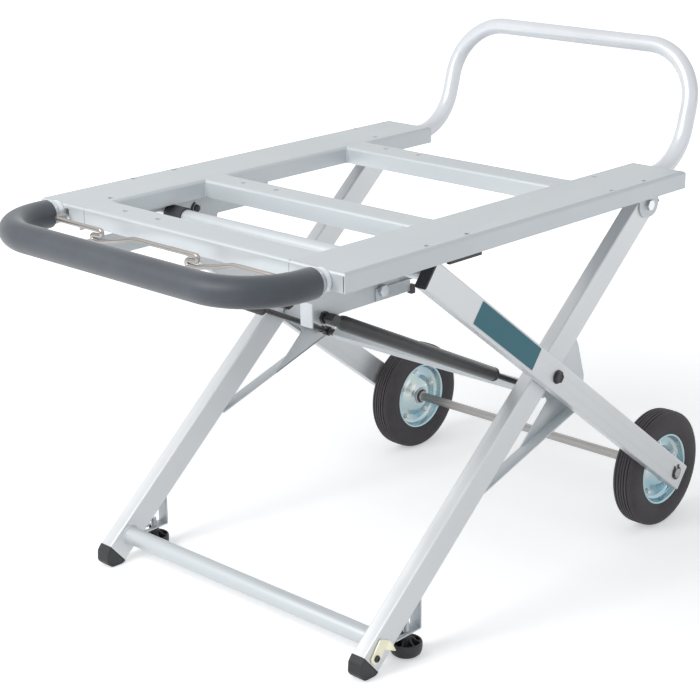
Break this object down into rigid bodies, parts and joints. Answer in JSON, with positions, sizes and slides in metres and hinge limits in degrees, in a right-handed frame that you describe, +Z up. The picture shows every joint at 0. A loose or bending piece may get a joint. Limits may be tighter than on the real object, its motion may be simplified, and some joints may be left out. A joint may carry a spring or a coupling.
{
  "type": "folding wheeled work table",
  "caption": "Folding work table with a slotted sheet metal frame, scissor legs, gas springs, two wheels, a padded front handle and a raised rear handle.",
  "frame": {"origin": "on the floor, under the middle of the table's overall box", "axes": "+X from the front handle towards the wheels, +Y towards the far side, +Z up"},
  "size_m": [1.0936, 0.6546, 0.8184],
  "materials": {
    "frame_paint": "satin silver grey paint",
    "handle_paint": "satin silver grey paint",
    "leg_aluminium": "satin, drawn lengthwise",
    "leg_steel": "satin silver grey paint",
    "zinc_steel": "bright zinc plate",
    "rim_zinc": "bright zinc plate with a blue cast",
    "bearing_steel": "ground",
    "tyre": "matt ribbed rubber",
    "foam": "matt foam",
    "black_plastic": "matt",
    "black_steel": "satin black paint",
    "gas_black": "satin black paint",
    "gas_rod_steel": "satin black",
    "yellow_zinc": "yellow zinc plate"
  },
  "bodies": {
    "frame": {"side_rail_left": "frame_paint", "side_rail_right": "frame_paint", "front_cross_rail": "frame_paint", "middle_cross_rail": "frame_paint", "rear_cross_rail": "frame_paint", "rail_strips": "black_plastic", "track_plate_left": "frame_paint", "track_plate_right": "frame_paint", "track_stops": "frame_paint", "stop_buffers": "tyre", "track_bolts": "zinc_steel", "rear_hanger_left": "frame_paint", "rear_hanger_right": "frame_paint", "hinge_bolts": "zinc_steel", "front_handle_tube": "handle_paint", "foam_grip": "foam", "handle_collars": "handle_paint", "rear_handle_tube": "handle_paint", "gas_front_studs": "black_steel", "catch_bolts": "zinc_steel"},
    "front_legs": {"front_leg_left": "leg_aluminium", "front_leg_right": "leg_aluminium", "front_leg_plugs": "black_plastic", "foot_caps": "black_plastic", "foot_cross_tube": "leg_steel", "square_cross_tube": "leg_steel", "gusset_left": "leg_steel", "gusset_right": "leg_steel", "gas_rear_studs": "black_steel", "levelling_brackets": "leg_steel", "leg_cross_bolts": "black_steel", "hook_screw": "zinc_steel"},
    "wheel_legs": {"wheel_leg_left": "leg_aluminium", "wheel_leg_right": "leg_aluminium", "wheel_leg_plugs": "black_plastic", "slide_tube": "leg_steel", "slide_pins": "zinc_steel", "slide_bushes": "black_plastic", "axle": "zinc_steel", "axle_clips": "zinc_steel", "axle_washers": "zinc_steel", "axle_collars": "zinc_steel"},
    "wheel_left": {"tyre_left": "tyre", "rim_left": "rim_zinc", "wheel_bearing_left": "bearing_steel"},
    "wheel_right": {"tyre_right": "tyre", "rim_right": "rim_zinc", "wheel_bearing_right": "bearing_steel"},
    "gas_cylinder_left": {"gas_cylinder_left": "gas_black"},
    "gas_cylinder_right": {"gas_cylinder_right": "gas_black"},
    "gas_rod_left": {"gas_rod_left": "gas_rod_steel"},
    "gas_rod_right": {"gas_rod_right": "gas_rod_steel"},
    "release": {"release_lever": "zinc_steel", "catch_left": "zinc_steel", "catch_right": "zinc_steel"},
    "levelling_foot_left": {"levelling_foot_left": "black_plastic"},
    "levelling_foot_right": {"levelling_foot_right": "black_plastic"},
    "hook": {"transport_hook": "yellow_zinc"}
  },
  "joints": [
    {"name": "fold", "type": "hinge", "parent": "frame", "child": "front_legs", "pos_m": [0.3354, 0, 0.5853], "axis": [0, 1, 0], "range_deg": [0, 28]},
    {"name": "cross", "type": "hinge", "parent": "front_legs", "child": "wheel_legs", "pos_m": [0.07915, 0, 0.36489], "axis": [0, 1, 0], "range_deg": [-53.7, 0]},
    {"name": "gas_cylinder_left", "type": "hinge", "parent": "frame", "child": "gas_cylinder_left", "pos_m": [-0.34685, 0.255, 0.544], "axis": [0, 1, 0], "range_deg": [-7.4, 0]},
    {"name": "gas_rod_left", "type": "slide", "parent": "gas_cylinder_left", "child": "gas_rod_left", "axis": [0.8996, 0, -0.4368], "range_m": [-0.1507, 0]},
    {"name": "gas_cylinder_right", "type": "hinge", "parent": "frame", "child": "gas_cylinder_right", "pos_m": [-0.34685, -0.255, 0.544], "axis": [0, 1, 0], "range_deg": [-7.4, 0]},
    {"name": "gas_rod_right", "type": "slide", "parent": "gas_cylinder_right", "child": "gas_rod_right", "axis": [0.8996, 0, -0.4368], "range_m": [-0.1507, 0]},
    {"name": "wheel_spin_left", "type": "hinge", "parent": "wheel_legs", "child": "wheel_left", "pos_m": [0.42228, 0.278, 0.1016], "axis": [0, 1, 0], "continuous": true},
    {"name": "wheel_spin_right", "type": "hinge", "parent": "wheel_legs", "child": "wheel_right", "pos_m": [0.42228, -0.278, 0.1016], "axis": [0, 1, 0], "continuous": true},
    {"name": "levelling_left", "type": "slide", "parent": "front_legs", "child": "levelling_foot_left", "axis": [0, 0, -1], "range_m": [0, 0.012]},
    {"name": "levelling_right", "type": "slide", "parent": "front_legs", "child": "levelling_foot_right", "axis": [0, 0, -1], "range_m": [0, 0.012]},
    {"name": "hook_swing", "type": "hinge", "parent": "front_legs", "child": "hook", "pos_m": [-0.31205, -0.30055, 0.02841], "axis": [0, 1, 0], "range_deg": [-45, 25]},
    {"name": "release_turn", "type": "hinge", "parent": "frame", "child": "release", "pos_m": [-0.33285, 0, 0.604], "axis": [0, 1, 0], "range_deg": [-4, 2]}
  ],
  "couplings": [
    {"joint": "cross", "follows": "fold", "ratio": -1.9163},
    {"joint": "gas_cylinder_left", "follows": "fold", "ratio": -0.2605},
    {"joint": "gas_rod_left", "follows": "fold", "m_per_rad": -0.3081},
    {"joint": "gas_cylinder_right", "follows": "fold", "ratio": -0.2605},
    {"joint": "gas_rod_right", "follows": "fold", "m_per_rad": -0.3081}
  ]
}
